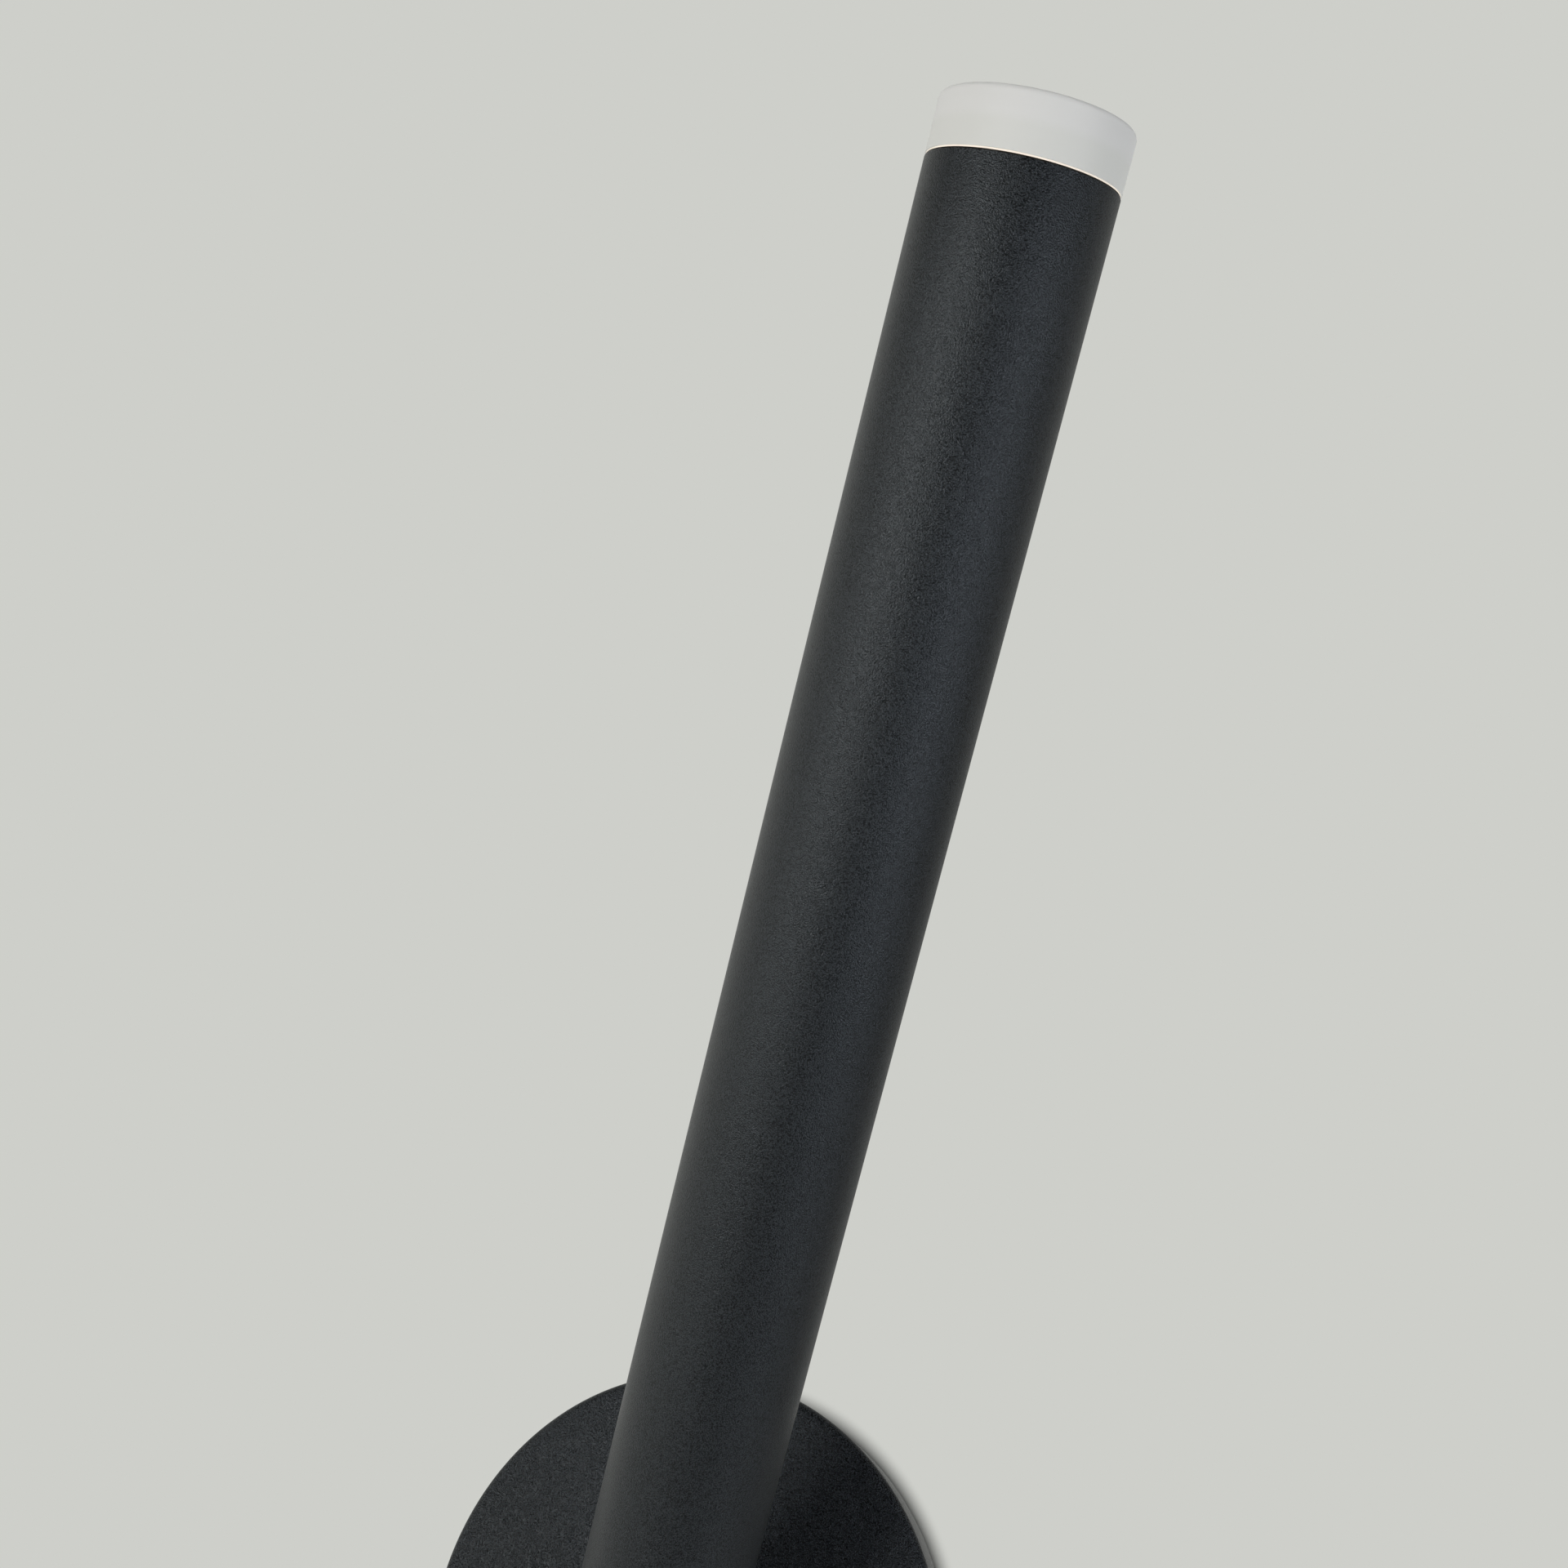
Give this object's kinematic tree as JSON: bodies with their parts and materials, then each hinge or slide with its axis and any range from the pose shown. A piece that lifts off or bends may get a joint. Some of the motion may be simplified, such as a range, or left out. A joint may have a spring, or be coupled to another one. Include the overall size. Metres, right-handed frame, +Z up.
{
  "type": "tube wall light",
  "caption": "Slim tube light with a frosted end that swivels and tilts on a post in a round wall canopy.",
  "frame": {"origin": "centre of the wall screw pattern, on the wall plane, which is also the canopy's axis", "axes": "+Y points into the wall, +Z is up, +X is to the right for someone facing the wall; the light stands out towards -Y"},
  "size_m": [0.1525, 0.2273, 0.2651],
  "materials": {
    "black_powder_coat": "fine textured matt powder coat",
    "black_coated_aluminium": "fine textured matt powder coat on aluminium",
    "zinc_plated_steel": "zinc plated, satin",
    "blackened_steel": "black oxide, satin",
    "brass": "bare, satin",
    "white_plastic": "moulded, fine matt",
    "bare_aluminium": "machined",
    "board_white": "white solder mask",
    "board_green": "green solder mask",
    "led_yellow": "phosphor",
    "frosted_acrylic": "frosted, translucent",
    "gasket_silicone": "pale translucent silicone",
    "black_rubber": "matt",
    "brown_fibre": "pressed fibre",
    "wire_brown": "wire sleeve",
    "wire_green": "wire sleeve, green and yellow"
  },
  "bodies": {
    "canopy_body": {"wall_plate": "zinc_plated_steel", "cable_grommet": "black_rubber", "terminal_block": "white_plastic", "terminal_inserts": "brass", "terminal_screws": "zinc_plated_steel", "terminal_fixing_screw": "zinc_plated_steel", "earth_screw": "zinc_plated_steel", "earth_tag": "brass", "earth_lead": "wire_green", "input_leads": "wire_brown", "driver_case": "white_plastic", "driver_cover": "white_plastic", "driver_board": "board_green", "driver_screws": "zinc_plated_steel", "output_lead": "black_rubber", "canopy": "black_powder_coat", "canopy_screws": "black_powder_coat", "swivel_bush": "white_plastic", "stop_pin": "zinc_plated_steel"},
    "post_body": {"swivel_post": "black_powder_coat", "thrust_washer": "zinc_plated_steel", "wave_washer": "zinc_plated_steel", "stop_washer": "zinc_plated_steel", "swivel_nut": "zinc_plated_steel"},
    "lamp_body": {"tube": "black_coated_aluminium", "joint_block": "black_coated_aluminium", "block_screws": "blackened_steel", "tilt_sleeve": "blackened_steel", "tilt_bolt": "blackened_steel", "tilt_washer": "blackened_steel", "friction_discs": "brown_fibre", "heat_sink": "bare_aluminium", "sink_screw": "blackened_steel", "led_board": "board_white", "led_chips": "led_yellow", "board_screws": "zinc_plated_steel", "reflector": "white_plastic", "diffuser": "frosted_acrylic", "diffuser_gasket": "gasket_silicone", "tube_lead": "black_rubber"}
  },
  "joints": [
    {"name": "swivel", "type": "hinge", "parent": "canopy_body", "child": "post_body", "pos_m": [0, -0.03, 0], "axis": [0, 1, 0], "range_deg": [-182.5, 137.5]},
    {"name": "tilt", "type": "hinge", "parent": "post_body", "child": "lamp_body", "pos_m": [0, -0.061, 0], "axis": [0.9239, 0, -0.3827], "range_deg": [-35, 55]}
  ]
}
